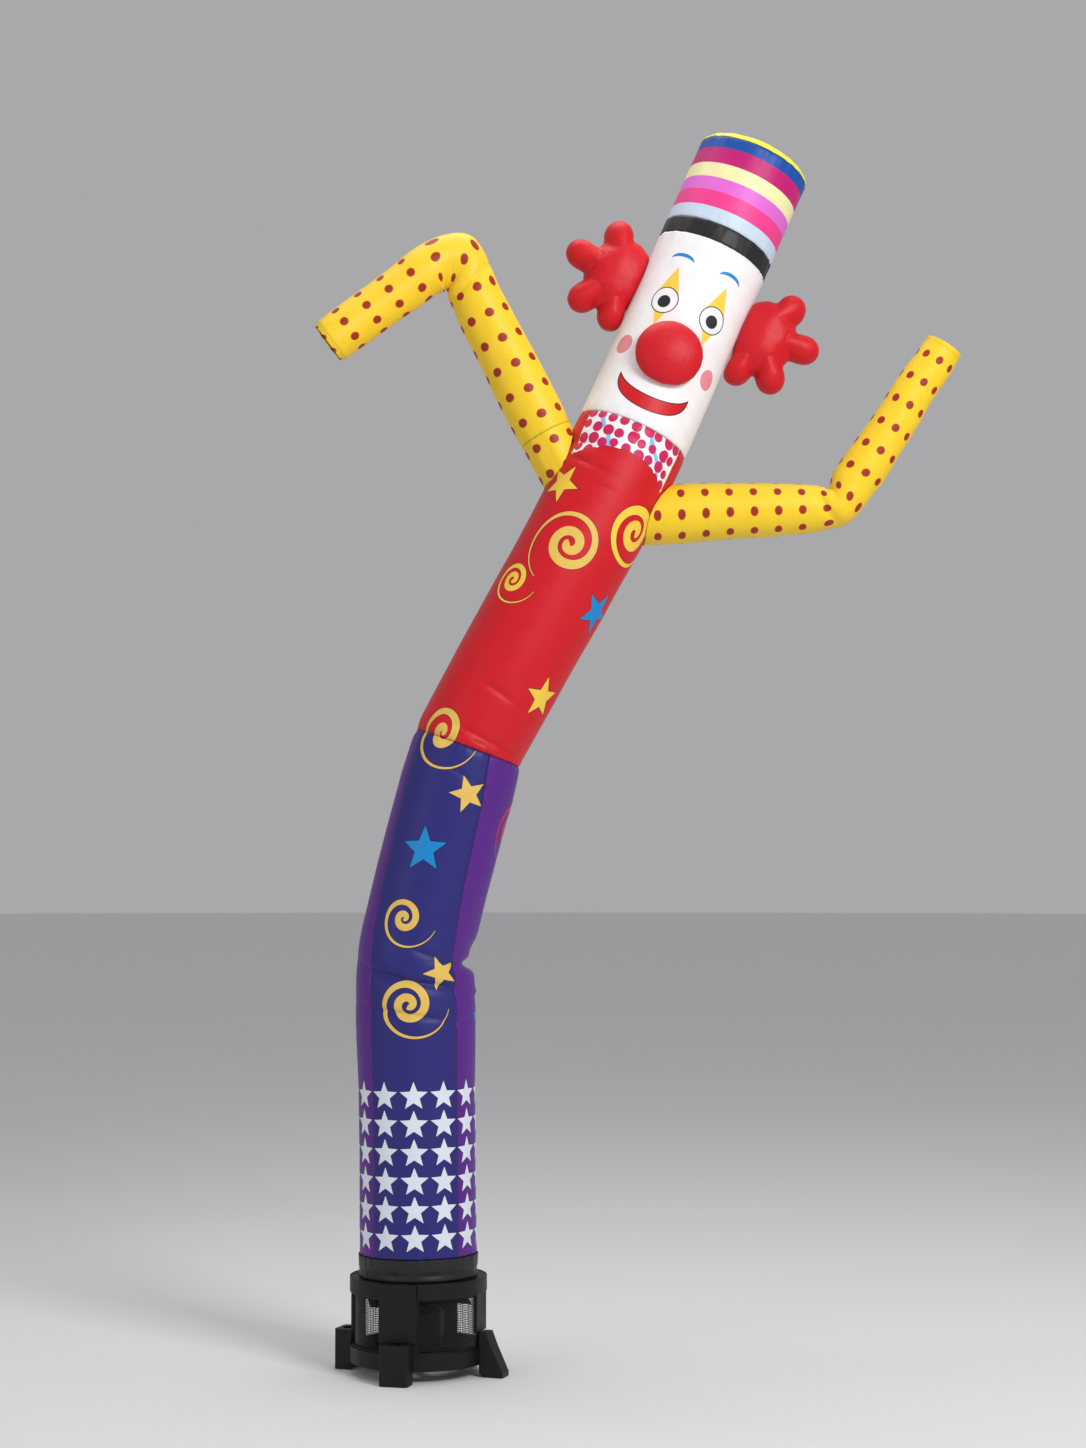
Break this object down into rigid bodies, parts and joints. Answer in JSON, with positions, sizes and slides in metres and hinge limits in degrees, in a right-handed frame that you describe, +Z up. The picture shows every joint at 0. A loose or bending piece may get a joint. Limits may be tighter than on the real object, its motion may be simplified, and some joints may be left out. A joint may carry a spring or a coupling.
{
  "type": "inflatable air dancer and blower",
  "caption": "Leaning clown tube figure of thin cloth with bent sleeves, striped hat and round hair, blown up by the fan blower under it.",
  "frame": {"origin": "on the floor under the middle of the model's box; the blower's upright axis is at x -0.590, y -0.046", "axes": "+Z up; the figure faces -Y and leans to +X"},
  "size_m": [1.7362, 0.5444, 3.3328],
  "materials": {
    "blue_cloth": "woven cloth, thin and slightly shiny",
    "purple_cloth": "woven cloth, thin and slightly shiny",
    "red_cloth": "woven cloth, thin and slightly shiny",
    "white_cloth": "woven cloth, thin and slightly shiny",
    "black_cloth": "woven cloth, thin and slightly shiny",
    "striped_cloth": "woven cloth, thin and slightly shiny",
    "cap_cloth": "woven cloth, thin and slightly shiny",
    "yellow_cloth": "woven cloth, thin and slightly shiny",
    "black_plastic": "fine moulded grain",
    "guard_wire": "black coated wire mesh",
    "motor_metal": "dark grey paint"
  },
  "bodies": {
    "root": {"cuff": "black_cloth", "leg_panel_front": "blue_cloth", "leg_panel_back": "blue_cloth", "leg_panel_left": "purple_cloth", "leg_panel_right": "purple_cloth", "torso": "red_cloth", "head": "white_cloth", "hat_band": "black_cloth", "hat_crown": "striped_cloth", "hat_dome": "cap_cloth", "shoulder_left": "yellow_cloth", "arm_left": "yellow_cloth", "arm_right": "yellow_cloth", "hair_left": "red_cloth", "hair_right": "red_cloth", "nose": "red_cloth", "housing": "black_plastic", "guard_mesh": "guard_wire", "post_leg_1": "black_plastic", "post_leg_2": "black_plastic", "brace_leg_1": "black_plastic", "brace_leg_2": "black_plastic", "motor_bracket": "black_plastic", "motor": "motor_metal", "fan": "black_plastic"}
  },
  "joints": []
}
